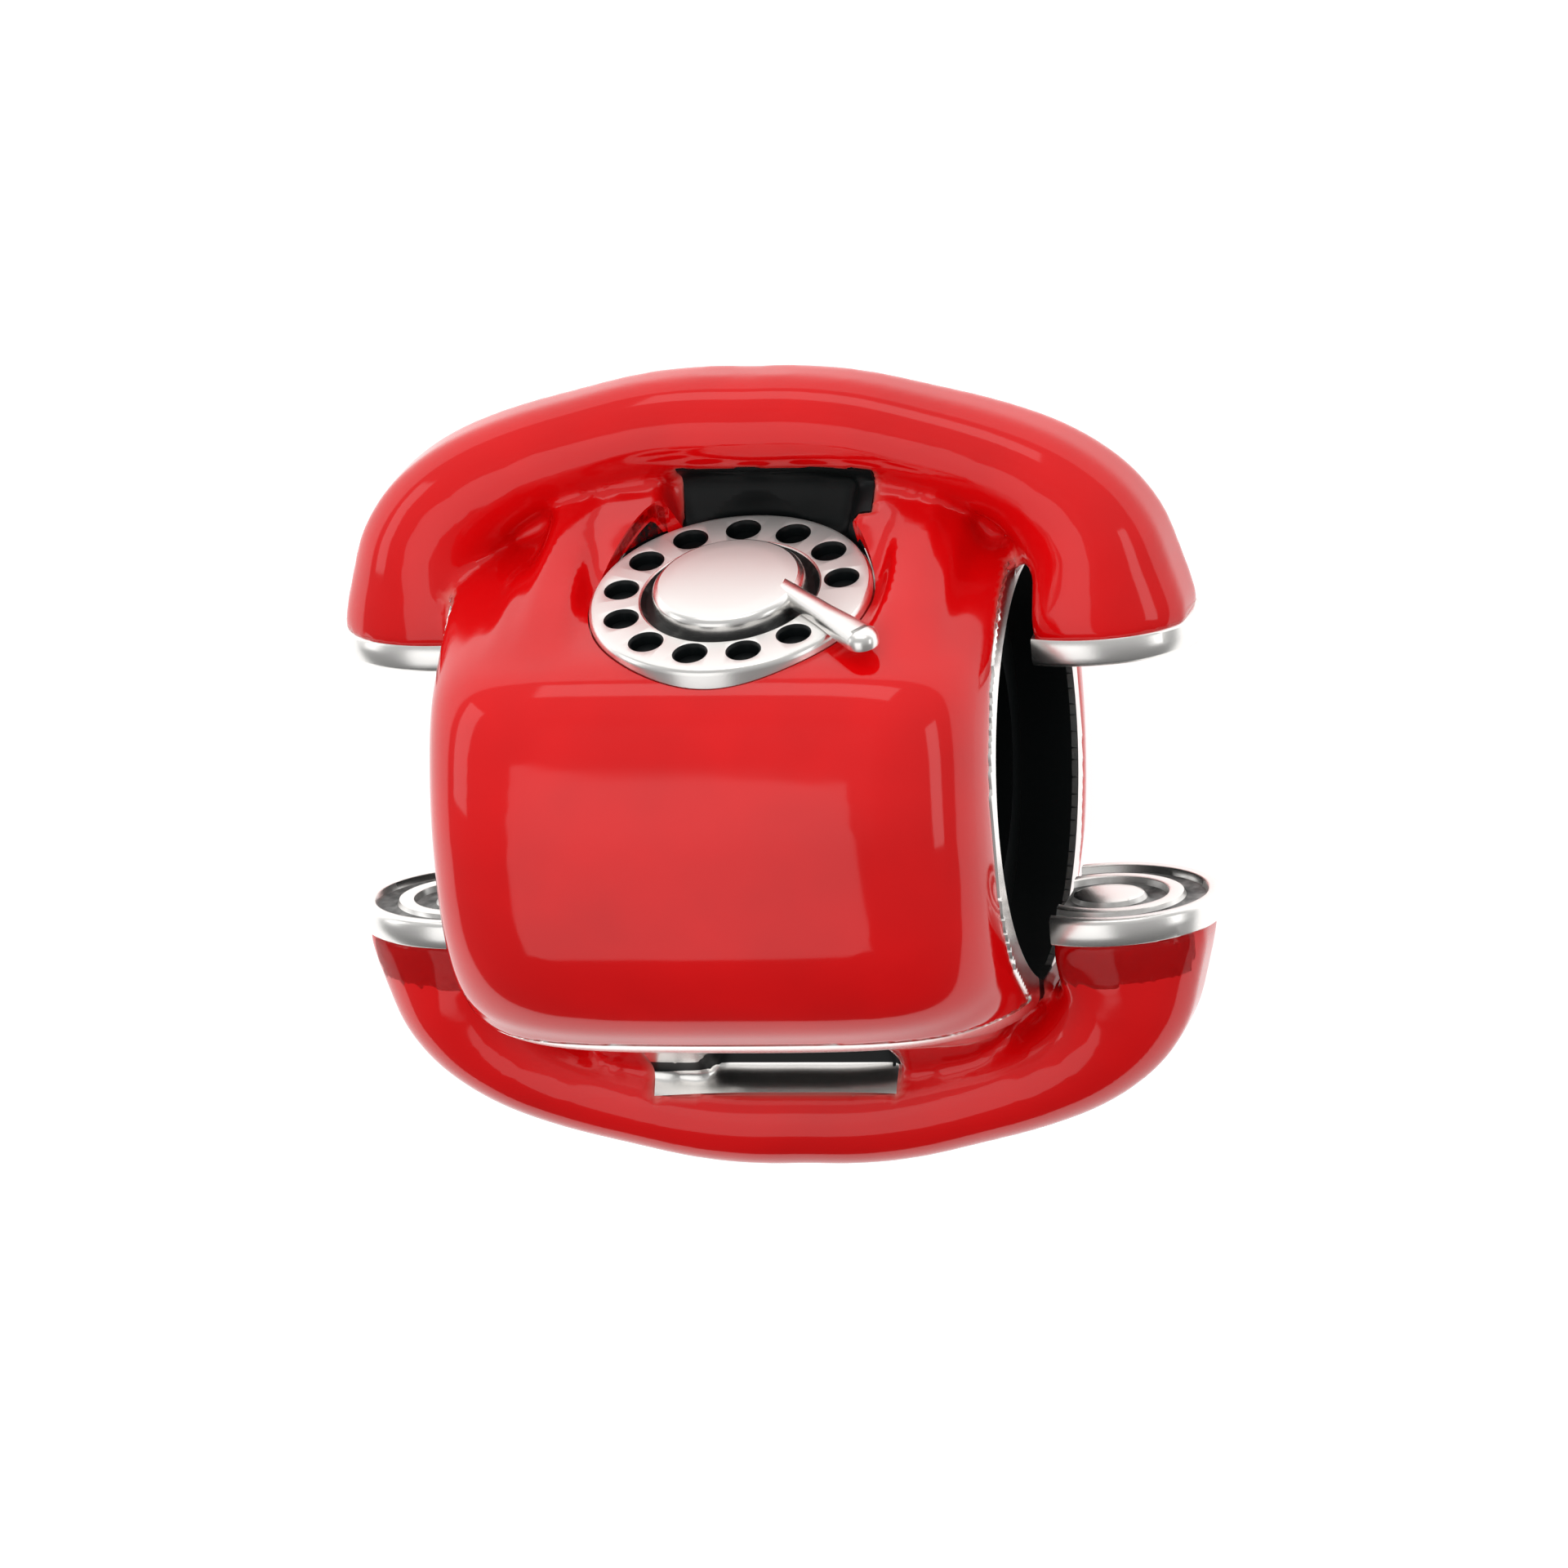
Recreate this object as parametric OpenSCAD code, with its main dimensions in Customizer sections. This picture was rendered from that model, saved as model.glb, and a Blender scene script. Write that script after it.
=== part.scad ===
// Bead charm for a bracelet: two old dial telephones cast back to back in silver,
// one upright in front and one upside down behind, with the bracelet's bore between them.
// The front phone's half turn about the bore axis (X) gives the back phone.
// The red enamel lies in recesses of the silver, flush with the silver edges round it.
// It is drawn standing, with Z up through the front phone, and then laid on its back phone,
// which is how it lies by itself.

/* [Body] */
// Half length of the bead body along the bore
body_half = 3.75; // [3.7:0.01:3.8]
// Offset of the body from the middle of the handsets
body_shift = -0.2; // [-0.2:0.01:-0.15]
// Width of the silver rim at each end of the body
rim_w = 0.1; // [0.1:0.01:0.14]

/* [Bore] */
// Radius of the round bore for the bracelet
bore_r = 1.95; // [1.8:0.05:1.95]
// Half width of the pointed mouth at each end
mouth_half_w = 2.25; // [2.2:0.05:2.3]
// Half height of the pointed mouth at each end
mouth_half_h = 2.8; // [2.6:0.05:2.85]
// Depth of the mouth, from the end of the body inwards
mouth_depth = 0.8; // [0.5:0.1:1]
// Lean of the mouth and of the end rim, top to the back
mouth_lean = 15.5; // [10:0.5:18]
// Short half axis of the silver end rim
rim_half_w = 2.62; // [2.6:0.01:2.7]
// Long half axis of the silver end rim
rim_half_h = 3.08; // [3.05:0.01:3.15]

/* [Enamel] */
// Thickness of the enamel
enamel_t = 0.28; // [0.2:0.01:0.3]
// Room between the enamel and the silver
seat_gap = 0.03; // [0.02:0.01:0.04]

/* [Handset] */
// How far the handset lies behind the bore axis
handset_y = 0.15; // [0.1:0.01:0.2]
// Share of a handset section's height at which its back is flat
flat_back = 0.94; // [0.92:0.01:0.96]
// Height of the earpiece faces above the bore axis
cup_z = 1.73; // [1.72:0.01:1.8]

/* [Dial] */
// Radius of the finger plate
dial_r = 1.91; // [1.8:0.01:1.95]
// Slope of the dial towards the front
dial_tilt = 15; // [12:1:18]
// Distance of the dial's middle in front of the bore axis
dial_y = 1.82; // [1.75:0.01:1.85]
// Height of the finger plate's middle above the bore axis
dial_z = 3.04; // [3:0.01:3.08]
// Radius of the raised middle disc
hub_r = 1.03; // [0.95:0.01:1.05]
// Radius of a finger hole
finger_r = 0.22; // [0.18:0.01:0.23]
// Radius of the ring of finger holes
finger_ring_r = 1.5; // [1.46:0.01:1.54]
// Places round the ring, one of them under the finger stop
finger_places = 13; // [10:1:13]
// Direction of the finger stop, from the right hand side
stop_angle = -42; // [-44:1:-40]
// Length of the finger stop outside the raised disc
stop_length = 1.75; // [1.6:0.05:1.8]

/* [Hidden] */
silver = [0.78, 0.78, 0.8];
red = [0.8, 0.04, 0.05];
round_n = 64;

// Half of the body's outline seen along the bore, from the deck over the front to the lip.
// Columns: y and z between the cradle posts, then y and z where the body is raised,
// then 1 where the raise is a cradle post and 2 where it is the shoulder before it.
OUTLINE = [
    [ 0.95,  3.30,  0.85,  3.95, 1],
    [ 0.20,  3.35,  0.28,  4.40, 1],
    [-0.60,  3.20, -0.52,  3.85, 1],
    [-1.40,  2.97, -1.45,  3.42, 2],
    [-2.20,  2.76, -2.25,  3.05, 2],
    [-3.00,  2.55, -3.00,  2.58, 2],
    [-3.60,  2.36, -3.60,  2.36, 0],
    [-3.88,  2.12, -3.88,  2.12, 0],
    [-3.92,  1.75, -3.92,  1.75, 0],
    [-3.98,  1.35, -3.98,  1.35, 0],
    [-4.18,  0.95, -4.18,  0.95, 0],
    [-4.32,  0.45, -4.32,  0.45, 0],
    [-4.33, -0.20, -4.33, -0.20, 0],
    [-4.32, -0.85, -4.32, -0.85, 0],
    [-4.22, -1.45, -4.22, -1.45, 0],
    [-4.02, -2.00, -4.02, -2.00, 0],
    [-3.78, -2.50, -3.78, -2.50, 0],
    [-3.46, -2.80, -3.46, -2.80, 0],
    [-3.38, -3.12, -3.38, -3.12, 0],
    [-2.60, -3.24, -2.60, -3.24, 0],
    [-1.60, -3.32, -1.60, -3.32, 0]];
OUT_Y = 0;
OUT_Z = 1;
OUT_KIND = 4;
enamel_from = 2;
enamel_to = 17;
outline_step = 0.04;

// Sections of the body from left to right.
// Columns: place from the body's middle, share of the cradle post, share of the shoulder.
STATIONS = [
    [-3.42, 0, 0], [-3.1, 0, 0.15], [-2.7, 0, 0.6], [-2.42, 0, 0.9], [-2.3, 1, 1], [-1.95, 1, 0.9],
    [-1.65, 1, 0.15], [-1.05, 1, 0], [-0.93, 0, 0], [-0.3, 0, 0], [0.4, 0, 0], [1.1, 0, 0],
    [1.68, 0, 0], [1.8, 1, 0], [2.1, 1, 0.15], [2.38, 1, 0.9], [2.8, 1, 1], [3.08, 1, 0.8],
    [3.2, 0, 0.6], [3.42, 0, 0.15]];
body_power = 5;
body_root = 0.42;

// Sections of the handset from its middle to the top of the earpiece's silver band.
// Columns: x, z, slope of the centre line, half height, half depth, reach of the enamel round it.
HANDSET = [
    [0.00, 4.87,  0, 0.72, 0.76, 138],
    [0.75, 4.87,  0, 0.72, 0.76, 138],
    [1.50, 4.79,  8, 0.71, 0.76, 138],
    [2.30, 4.60, 14, 0.71, 0.78, 136],
    [3.10, 4.36, 21, 0.74, 0.83, 134],
    [3.78, 4.04, 34, 0.81, 0.90, 130],
    [4.26, 3.62, 52, 0.93, 0.98, 124],
    [4.50, 3.18, 69, 1.05, 1.07, 116],
    [4.50, 2.72, 82, 1.23, 1.14, 110],
    [4.43, 2.34, 90, 1.42, 1.19, 106]];
cup_x = 4.42;
band_h = 0.36;
band_top = cup_z + band_h;
BAND_LOW = [cup_x, band_top + 2 * seat_gap, 90, 1.5, 1.2, 104];

// Profile of the earpiece's silver face, from the band inwards.
// Columns: height above the face, half length, half depth.
CUP = [
    [band_h, 1.54, 1.22], [0.05, 1.54, 1.22], [0, 1.49, 1.17], [0, 1.36, 1.06], [0.12, 1.3, 1.01],
    [0.12, 1.06, 0.82], [0.02, 1, 0.78], [0.02, 0.82, 0.64], [0.13, 0.77, 0.6],
    [0.13, 0.52, 0.41], [0.03, 0.46, 0.37]];
upper_steps = 14;
under_steps = 4;

// Section helpers
function mix(a, b, t) = a + (b - a) * t;
function share(kind, station) = kind == 0 ? 0 : station[kind];
function outline_at(i, station) =
    let (row = OUTLINE[i], s = share(row[OUT_KIND], station))
    [mix(row[OUT_Y], row[2], s), mix(row[OUT_Z], row[3], s)];
function outline_point(v, station) =
    let (i = min(floor(v), len(OUTLINE) - 2))
    mix(outline_at(i, station), outline_at(i + 1, station), v - i);

// Radius of the end rim's ellipse in the direction of a point
function rim_radius(p) =
    let (a = atan2(-p[0], p[1]) + mouth_lean)
    1 / sqrt(pow(cos(a) / rim_half_h, 2) + pow(sin(a) / rim_half_w, 2));

// Fullness of the body, 1 in the middle and 0 at the end
function fullness(x) = pow(max(0, 1 - pow(abs(x) / body_half, body_power)), body_root);
// The enamel and its seat thin out towards the rims
rim_share = 0.5;
function thinned(x, depth) = depth * mix(rim_share, 1, fullness(x));

// Point of the body's surface, moved in towards the bore axis by inset
function body_point(station, v, inset) =
    let (p = outline_point(v, station),
         grow = mix(rim_radius(p) / norm(p), 1, fullness(station[0])),
         q = p * grow,
         r = q * (1 - inset / norm(q)))
    [body_shift + station[0], r[0], r[1]];

// All sections of one handset, from left to right
function both_sides(list) =
    concat([for (i = [len(list) - 1:-1:1]) [-1, list[i]]], [for (s = list) [1, s]]);

// Faces of a closed ring of points repeated along a length. The points past turn are
// those of a layer's inner surface, cut corner to corner like the seat under them.
function skin_faces(rings, n, turn) = [
    for (i = [0:rings - 2], j = [0:n - 1])
        let (k = (j + 1) % n, a = i * n + j, b = (i + 1) * n + j, c = i * n + k, d = (i + 1) * n + k)
        each j < turn ? [[a, b, c], [c, b, d]] : [[a, b, d], [a, d, c]]];
function cap_faces(rings, n) = [[for (j = [0:n - 1]) j], [for (j = [n - 1:-1:0]) (rings - 1) * n + j]];

module loft(rings) {
    n = len(rings[0]);
    polyhedron([for (r = rings) each r], concat(skin_faces(len(rings), n, n), cap_faces(len(rings), n)));
}

// A thin curved layer: each ring runs out along its outer surface and back along its inner one
function strip_faces(n) = [for (j = [0:n / 2 - 2]) each
    [[j, j + 1, n - 1 - j], [j + 1, n - 2 - j, n - 1 - j]]];
function turned(faces, start) = [for (f = faces) [start + f[2], start + f[1], start + f[0]]];
module layer(rings) {
    n = len(rings[0]);
    ends = concat(strip_faces(n), turned(strip_faces(n), (len(rings) - 1) * n));
    polyhedron([for (r = rings) each r], concat(skin_faces(len(rings), n, n / 2), ends));
}

// A ring of the silver body: the front half's outline, then the same turned half round
function silver_half(station, deep) = concat(
    [for (i = [0:enamel_from]) body_point(station, i, 0)],
    [body_point(station, enamel_from + outline_step / 2, deep)],
    [for (i = [enamel_from + 1:enamel_to - 1]) body_point(station, i, deep)],
    [body_point(station, enamel_to - outline_step / 2, deep)],
    [for (i = [enamel_to:len(OUTLINE) - 1]) body_point(station, i, 0)]);
function half_turn(list) = [for (p = list) [p[0], -p[1], -p[2]]];
function silver_ring(station, deep) =
    let (half = silver_half(station, deep)) concat(half, half_turn(half));

deep = enamel_t + seat_gap;
enamel_end = body_half - rim_w;
seat_end = enamel_end + seat_gap;
rim_start = seat_end + seat_gap / 2;
function plain(x) = [x, 0, 0];
module body_silver() {
    seats = concat([plain(-seat_end)], STATIONS, [plain(seat_end)]);
    loft(concat([silver_ring(plain(-body_half), 0), silver_ring(plain(-rim_start), 0)],
                [for (s = seats) silver_ring(s, thinned(s[0], deep))],
                [silver_ring(plain(rim_start), 0), silver_ring(plain(body_half), 0)]));
}

// Enamel of one phone body: the outer surface and, back again, the surface it sits on
enamel_v = concat([enamel_from + outline_step * 2], [for (i = [enamel_from + 1:enamel_to - 1]) i],
                  [enamel_to - outline_step * 2]);
module body_enamel() {
    layer([for (s = concat([plain(-enamel_end)], STATIONS, [plain(enamel_end)])) concat(
        [for (v = enamel_v) body_point(s, v, 0)],
        [for (i = [len(enamel_v) - 1:-1:0]) body_point(s, enamel_v[i], thinned(s[0], enamel_t))])]);
}

// Point of a handset section, with angle 0 on the handset's back
function handset_point(side, s, angle, inset) =
    let (up = (s[3] - inset) * min(cos(angle), flat_back))
    [side * (s[0] + up * sin(s[2])), handset_y - (s[4] - inset) * sin(angle), s[1] + up * cos(s[2])];
function cover_angles(reach) = [for (i = [0:upper_steps]) mix(-reach, reach, i / upper_steps)];
function handset_ring(side, s, inset) =
    let (reach = s[5], step = 1,
         under = (360 - 2 * reach) / (under_steps + 1))
    concat(
        [handset_point(side, s, -reach - step, 0)],
        [for (a = cover_angles(reach)) handset_point(side, s, a, inset)],
        [handset_point(side, s, reach + step, 0)],
        [for (i = [1:under_steps]) handset_point(side, s, reach + under * i, 0)]);
function cup_section(c) = [cup_x, cup_z + c[0], 90, c[1], c[2], BAND_LOW[5]];
handset_list = concat([for (s = HANDSET) [s, deep]], [[BAND_LOW + [0, -seat_gap, 0, 0, 0, 0], deep]],
                      [for (c = CUP) [cup_section(c), 0]]);

module handset_silver() {
    loft([for (e = both_sides(handset_list)) handset_ring(e[0], e[1][0], e[1][1])]);
}

module handset_enamel() {
    reach_in = 3;
    layer([for (e = both_sides(concat(HANDSET, [BAND_LOW])))
        let (angles = cover_angles(e[1][5] - reach_in))
        concat(
            [for (a = angles) handset_point(e[0], e[1], a, 0)],
            [for (i = [len(angles) - 1:-1:0]) handset_point(e[0], e[1], angles[i], enamel_t)])]);
}

// Dial: finger plate, dark groove, raised disc and finger stop
dial_sink = 0.75;
groove_out = 1.2;
groove_deep = 0.08;
hub_rise = 0.2;
hub_dome = 0.05;
edge_round = 0.06;
finger_deep = 0.14;
stop_start = [0.8, -0.14];
stop_low = 0.08;
stop_thick = 0.2;
stop_neck = 0.13;
stop_tip = 0.2;
hidden_finger = -16;
well_r = dial_r + 0.04;
well_h = 0.6;
module on_dial() {
    translate([0, -dial_y, dial_z]) rotate([dial_tilt, 0, 0]) children();
}
module dial() {
    on_dial() {
        difference() {
            rotate_extrude($fn = round_n)
                polygon([[0, -dial_sink], [dial_r, -dial_sink], [dial_r, -edge_round],
                         [dial_r - edge_round, 0], [groove_out, 0], [groove_out - groove_deep, -groove_deep],
                         [hub_r, -groove_deep], [hub_r, hub_rise - hub_dome], [hub_r - 2 * hub_dome, hub_rise],
                         [hub_r / 2, hub_rise + hub_dome], [0, hub_rise + hub_dome]]);
            for (i = [1:finger_places - 1])
                rotate([0, 0, hidden_finger + i * 360 / finger_places])
                    translate([finger_ring_r, 0, -finger_deep]) cylinder(h = 1, r = finger_r, $fn = round_n);
        }
        finger_stop();
    }
}
module finger_stop() {
    translate([stop_start[0], stop_start[1], stop_low]) rotate([0, 0, stop_angle]) linear_extrude(stop_thick) {
        polygon([[-stop_tip, -stop_neck], [stop_length, -stop_tip],
                 [stop_length, stop_tip], [-stop_tip, stop_neck]]);
        translate([stop_length, 0]) circle(stop_tip, $fn = round_n);
    }
}

// Room round the dial, in the silver above its plate and right through the enamel
module dial_well() {
    on_dial() cylinder(h = well_h, r = well_r, $fn = round_n);
}
module dial_clearance() {
    on_dial() translate([0, 0, -well_h]) cylinder(h = 2 * well_h, r = well_r, $fn = round_n);
}

// Round bore with a pointed mouth at each end, cut no further than the body's ends
mouth_r = (pow(mouth_half_h, 2) + pow(mouth_half_w, 2)) / (2 * mouth_half_w);
module along_bore(from, to, r, off) {
    translate([from, 0, 0]) rotate([-mouth_lean, 0, 0]) translate([0, off, 0])
        rotate([0, 90, 0]) cylinder(h = to - from, r = r, $fn = round_n * 2);
}
module mouth(from, to) {
    intersection() {
        along_bore(from, to, mouth_r, mouth_r - mouth_half_w);
        along_bore(from, to, mouth_r, mouth_half_w - mouth_r);
    }
}
left_end = body_shift - body_half;
right_end = body_shift + body_half;
module bore() {
    along_bore(left_end, right_end, bore_r, 0);
    mouth(left_end, left_end + mouth_depth);
    mouth(right_end - mouth_depth, right_end);
}

module half_round() {
    rotate([180, 0, 0]) children();
}

// Turns the part from standing to lying on the back phone, the front phone's dial up
module laid() {
    rotate([-90, 0, 0]) children();
}

module silver_casting() {
    color(silver) laid() difference() {
        union() {
            difference() {
                body_silver();
                dial_well();
                half_round() dial_well();
            }
            handset_silver();
            half_round() handset_silver();
            dial();
            half_round() dial();
        }
        bore();
    }
}
module front_body_enamel() {
    color(red) laid() difference() {
        body_enamel();
        dial_clearance();
    }
}
module back_body_enamel() {
    color(red) laid() half_round() difference() {
        body_enamel();
        dial_clearance();
    }
}
module front_handset_enamel() {
    color(red) laid() handset_enamel();
}
module back_handset_enamel() {
    color(red) laid() half_round() handset_enamel();
}

silver_casting();
front_body_enamel();
back_body_enamel();
front_handset_enamel();
back_handset_enamel();
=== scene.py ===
import math

import bmesh
import bpy
import numpy as np
from mathutils import Matrix, Vector


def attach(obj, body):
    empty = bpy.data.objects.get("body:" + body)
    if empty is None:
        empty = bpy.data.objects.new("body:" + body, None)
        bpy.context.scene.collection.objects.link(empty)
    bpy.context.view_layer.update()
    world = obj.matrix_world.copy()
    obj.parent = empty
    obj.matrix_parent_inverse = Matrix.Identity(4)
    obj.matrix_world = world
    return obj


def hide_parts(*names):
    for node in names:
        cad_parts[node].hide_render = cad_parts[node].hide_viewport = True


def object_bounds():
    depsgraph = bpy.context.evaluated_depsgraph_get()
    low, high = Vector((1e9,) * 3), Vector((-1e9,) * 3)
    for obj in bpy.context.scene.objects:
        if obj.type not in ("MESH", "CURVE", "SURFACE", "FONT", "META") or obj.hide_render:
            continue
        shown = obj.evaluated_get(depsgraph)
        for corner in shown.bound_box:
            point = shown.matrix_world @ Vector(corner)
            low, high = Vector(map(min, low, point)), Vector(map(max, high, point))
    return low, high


# Bead charm: two dial telephones in silver and red enamel, one upright, one upside down behind it.
# Shapes are drawn standing, in millimetres, for the front telephone, and its half turn about X
# gives the other. Then all of it is laid on its back, the front telephone's dial up.
mm = 0.001
laid = Matrix.Rotation(-math.pi / 2, 4, "X")
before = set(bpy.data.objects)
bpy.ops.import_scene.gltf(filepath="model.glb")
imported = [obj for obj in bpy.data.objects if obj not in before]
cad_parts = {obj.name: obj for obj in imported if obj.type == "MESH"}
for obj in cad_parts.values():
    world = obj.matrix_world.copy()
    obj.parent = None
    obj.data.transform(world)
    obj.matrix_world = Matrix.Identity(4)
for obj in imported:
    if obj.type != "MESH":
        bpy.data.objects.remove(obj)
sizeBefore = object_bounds()
print("frame loaded", sizeBefore)

bodyShape = {
    "halfLength": 3.82, "shift": -0.27, "rimWidth": 0.09,
    "rimHalfWidth": 2.62, "rimHalfHeight": 3.08, "lean": 15.5, "power": 5, "root": 0.42, "taper": 0.02,
    # y, z between the posts, then y, z where raised, then 1 for a cradle post or 2 for its shoulder
    "outline": [
        (0.95, 3.42, 0.85, 3.95, 1), (0.20, 3.35, 0.28, 4.40, 1), (-0.60, 3.20, -0.52, 3.95, 1),
        (-1.40, 2.97, -1.45, 3.44, 2), (-2.20, 2.80, -2.25, 3.05, 2), (-3.00, 2.62, -3.00, 2.64, 2),
        (-3.43, 2.43, -3.43, 2.43, 0), (-3.73, 2.13, -3.73, 2.13, 0), (-3.94, 1.75, -3.94, 1.75, 0),
        (-4.10, 1.30, -4.10, 1.30, 0), (-4.23, 0.84, -4.23, 0.84, 0), (-4.31, 0.36, -4.31, 0.36, 0),
        (-4.33, -0.20, -4.33, -0.20, 0), (-4.31, -0.85, -4.31, -0.85, 0), (-4.22, -1.45, -4.22, -1.45, 0),
        (-4.00, -2.00, -4.00, -2.00, 0), (-3.68, -2.45, -3.68, -2.45, 0), (-3.28, -2.76, -3.28, -2.76, 0),
        (-2.98, -2.98, -2.98, -2.98, 0), (-2.50, -3.18, -2.50, -3.18, 0), (-1.60, -3.44, -1.60, -3.44, 0)],
    # x, share of the post, share of the shoulder
    "stations": [
        (-3.75, 0, 0), (-3.42, 0, 0), (-3.1, 0, 0.15), (-2.7, 0.1, 0.6), (-2.3, 0.95, 1), (-1.95, 1, 0.9),
        (-1.65, 1, 0.2), (-1.0, 1, 0), (-0.65, 0, 0), (-0.3, 0, 0), (0.4, 0, 0), (1.1, 0, 0),
        (1.5, 0, 0), (1.8, 1, 0.05), (2.2, 1, 0.2), (2.45, 1, 0.9), (2.8, 1, 1), (3.1, 0.7, 0.8),
        (3.42, 0, 0.15), (3.75, 0, 0)],
}

handsetShape = {
    "y": 0.15, "flat": 0.94,
    # x, z, slope of the centre line, half height, half depth
    "rows": [
        (0.00, 4.87, 0, 0.72, 0.76), (0.75, 4.87, 0, 0.72, 0.76), (1.50, 4.79, 8, 0.71, 0.76),
        (2.30, 4.60, 14, 0.71, 0.78), (3.10, 4.36, 21, 0.74, 0.83), (3.78, 4.04, 34, 0.81, 0.90),
        (4.26, 3.62, 52, 0.93, 0.98), (4.50, 3.18, 69, 1.05, 1.07), (4.50, 2.72, 82, 1.23, 1.14),
        (4.43, 2.36, 90, 1.44, 1.185), (4.42, 2.18, 90, 1.465, 1.19), (4.42, 2.05, 90, 1.475, 1.19)],
    # where its ends stop over the earpiece bands, and the room they leave for the body's ends
    "low": 2.0, "roomLow": (-4.24, -3, 1), "roomHigh": (3.84, 3, 2.95),
}

cupShape = {
    "x": 4.42, "z": 1.73, "y": 0.15,
    # height above the face, half length, half depth
    "rows": [
        (0.40, 1.30, 1.00), (0.375, 1.50, 1.19), (0.35, 1.53, 1.21), (0.20, 1.54, 1.22),
        (0.07, 1.535, 1.215), (0.02, 1.51, 1.19), (0.00, 1.47, 1.15), (0.00, 1.38, 1.07),
        (0.02, 1.35, 1.045), (0.10, 1.32, 1.02), (0.12, 1.28, 0.99), (0.12, 1.09, 0.84),
        (0.09, 1.05, 0.81), (0.03, 1.02, 0.79), (0.015, 0.98, 0.76), (0.015, 0.85, 0.66),
        (0.03, 0.82, 0.635), (0.11, 0.79, 0.61), (0.13, 0.75, 0.58), (0.13, 0.56, 0.43),
        (0.10, 0.52, 0.41), (0.04, 0.48, 0.38), (0.02, 0.42, 0.33), (0.00, 0.20, 0.16)],
    # its rings are dark between two heights, inside the outermost one
    "darkFrom": 0.025, "darkTo": 0.2, "darkLength": 1.335, "darkDepth": 1.03,
    "lightest": 0.1, "darkening": 5, "darkest": 0.62,
}

dialShape = {
    "radius": 1.91, "tilt": 15, "y": 1.78, "z": 3.09, "sink": 0.75,
    "hub": 1.03, "hubRise": 0.2, "grooveOut": 1.2, "grooveDepth": 0.09,
    "fingerRadius": 0.215, "fingerRing": 1.5, "fingerDepth": 0.16, "places": 13, "hiddenPlace": -16,
    "stopAngle": -42, "stopLength": 1.72, "stopTip": 0.23, "stopPlace": (0.8, -0.14),
    "stopLow": 0.02, "stopThick": 0.2,
    # along the arm and half its width there, then share of its height and how far the edge draws in
    "stopRows": [(-0.2, 0.14), (0.3, 0.14), (0.9, 0.16), (1.4, 0.21)],
    "stopRounding": [(0, 0.0), (0.4, 0.0), (0.7, 0.02), (0.9, 0.06), (1, 0.11)],
    # the seat that is cut for it, and the enamel collar round it
    "wellRoom": 0.02, "wellLow": -0.7, "wellHigh": 0.7, "underHoles": 0.04,
    "collarWidth": 0.3, "collarLow": -0.02, "collarHigh": 0.75, "collarInset": 0.03,
    # blackened between two heights, short of the rim
    "darkLow": -0.3, "darkHigh": -0.008, "brightRim": 0.12, "grooveDark": 0.75, "holeDark": 1.0,
    # a face counts as a flat top when it looks up at least this much
    "flatTop": 0.9,
}

boreShape = {"radius": 1.95, "mouthHalfWidth": 2.42, "mouthHalfHeight": 2.88,
             "mouthDepth": 0.8, "beyond": 0.02,
             # bare silver round the mouths, short of the bead's ends
             "bareRoom": 0.03, "bareEnd": 0.05}

# the gap behind the dial, closed by a thin wall between the cradle posts
gapShape = {"from": -0.98, "to": 1.72, "top": 4.32, "backFrom": -1.95, "backTo": 1.4, "backTop": 4.4,
            "back": 0.2, "wallLow": (-3.4, 0.0, 3.0), "wallHigh": (3.3, 0.4, 4.3),
            # kept clear of the enamel collar
            "clearLow": (-1.18, -1, 3), "clearHigh": (1.92, 1, 5),
            # made near black: on the deck up to the wall, then on the wall's far side
            "darkLow": 2.7, "darkHigh": 4.6, "deckRoom": 0.15, "wallFace": 0.22, "darkSide": 3.4,
            "farHigh": 4.1, "farBack": 0.9}

castingLook = {
    "voxel": 0.075, "smoothing": 9, "smoothFactor": 0.5, "seatDepth": 0.2, "enamelDepth": 0.16,
    # by how many edges from the border: how far the enamel rounds down, and how thin it looks
    "borderSmoothing": 5, "edgeRounding": (0.05, 0.012), "edgeThinness": (1.0, 0.45, 0.12),
    # share of the silver's faces kept, thinned only where enamel hides it, clear of the dials
    "keptShare": 0.87, "dialLow": 2.2, "dialHigh": 5.0, "dialSide": 3.2,
    # edges sharper than this, in degrees, aren't shaded smooth
    "silverSharp": 40, "enamelSharp": 50,
}


# Small geometry helpers, all in millimetres

def newObject(name, verts, faces):
    mesh = bpy.data.meshes.new(name)
    mesh.from_pydata([tuple(v) for v in verts], [], [tuple(f) for f in faces])
    mesh.update()
    obj = bpy.data.objects.new(name, mesh)
    bpy.context.scene.collection.objects.link(obj)
    return obj


def box(name, low, high):
    corners = [(x, y, z) for x in (low[0], high[0]) for y in (low[1], high[1]) for z in (low[2], high[2])]
    faces = [(0, 1, 3, 2), (4, 6, 7, 5), (0, 4, 5, 1), (2, 3, 7, 6), (0, 2, 6, 4), (1, 5, 7, 3)]
    obj = newObject(name, corners, faces)
    faceOutwards(obj)
    return obj


def loft(name, rings):
    n = len(rings[0])
    verts = [p for ring in rings for p in ring]
    faces = []
    for i in range(len(rings) - 1):
        for j in range(n):
            k = (j + 1) % n
            faces.append((i * n + j, (i + 1) * n + j, (i + 1) * n + k, i * n + k))
    faces.append(tuple(reversed(range(n))))
    faces.append(tuple((len(rings) - 1) * n + j for j in range(n)))
    obj = newObject(name, verts, faces)
    faceOutwards(obj)
    return obj


def faceOutwards(obj):
    bm = bmesh.new()
    bm.from_mesh(obj.data)
    bmesh.ops.recalc_face_normals(bm, faces=bm.faces)
    bm.to_mesh(obj.data)
    bm.free()


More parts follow.
